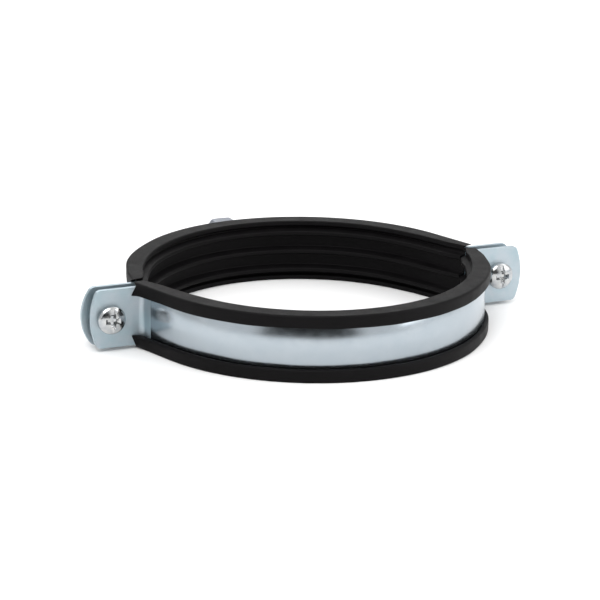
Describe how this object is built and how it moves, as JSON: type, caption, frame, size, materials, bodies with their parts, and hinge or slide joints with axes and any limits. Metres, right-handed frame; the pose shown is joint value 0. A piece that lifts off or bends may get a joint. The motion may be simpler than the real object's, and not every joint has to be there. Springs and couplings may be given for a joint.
{
  "type": "rubber-lined two-screw pipe clamp",
  "caption": "Two-piece steel pipe clamp with ribbed rubber lining, side screws and a welded hexagonal connecting nut for a threaded rod.",
  "frame": {"origin": "on the pipe axis, at mid height of the band", "axes": "+Z along the pipe axis, +Y towards the connecting nut, +X towards the right ear as seen from the screw heads"},
  "size_m": [0.1644, 0.1434, 0.0226],
  "materials": {
    "zinc_strip": "bright zinc-plated strip, satin",
    "epdm_rubber": "matt black EPDM",
    "zinc_nut": "zinc-plated, satin",
    "weld_metal": "zinc-plated weld, rough",
    "zinc_screw": "bright zinc-plated, glossy",
    "nylon": "natural nylon"
  },
  "bodies": {
    "rear_half": {"rear_band": "zinc_strip", "rear_lining": "epdm_rubber", "connecting_nut": "zinc_nut", "nut_weld": "weld_metal"},
    "front_half": {"front_band": "zinc_strip", "front_lining": "epdm_rubber"},
    "left_screw_set": {"left_screw": "zinc_screw", "left_screw_retainer": "nylon"},
    "right_screw_set": {"right_screw": "zinc_screw", "right_screw_retainer": "nylon"}
  },
  "joints": [
    {"name": "clamp_opening", "type": "slide", "parent": "rear_half", "child": "front_half", "axis": [0, -1, 0], "range_m": [-0.00175, 0.012]},
    {"name": "left_screw_turn", "type": "hinge", "parent": "front_half", "child": "left_screw_set", "pos_m": [-0.0732, 0, 0], "axis": [0, -1, 0], "range_deg": [-790, 5410]},
    {"name": "right_screw_turn", "type": "hinge", "parent": "front_half", "child": "right_screw_set", "pos_m": [0.0732, 0, 0], "axis": [0, -1, 0], "range_deg": [-790, 5410]}
  ],
  "couplings": [
    {"joint": "left_screw_turn", "follows": "clamp_opening", "rad_per_m": 7854},
    {"joint": "right_screw_turn", "follows": "clamp_opening", "rad_per_m": 7854}
  ]
}
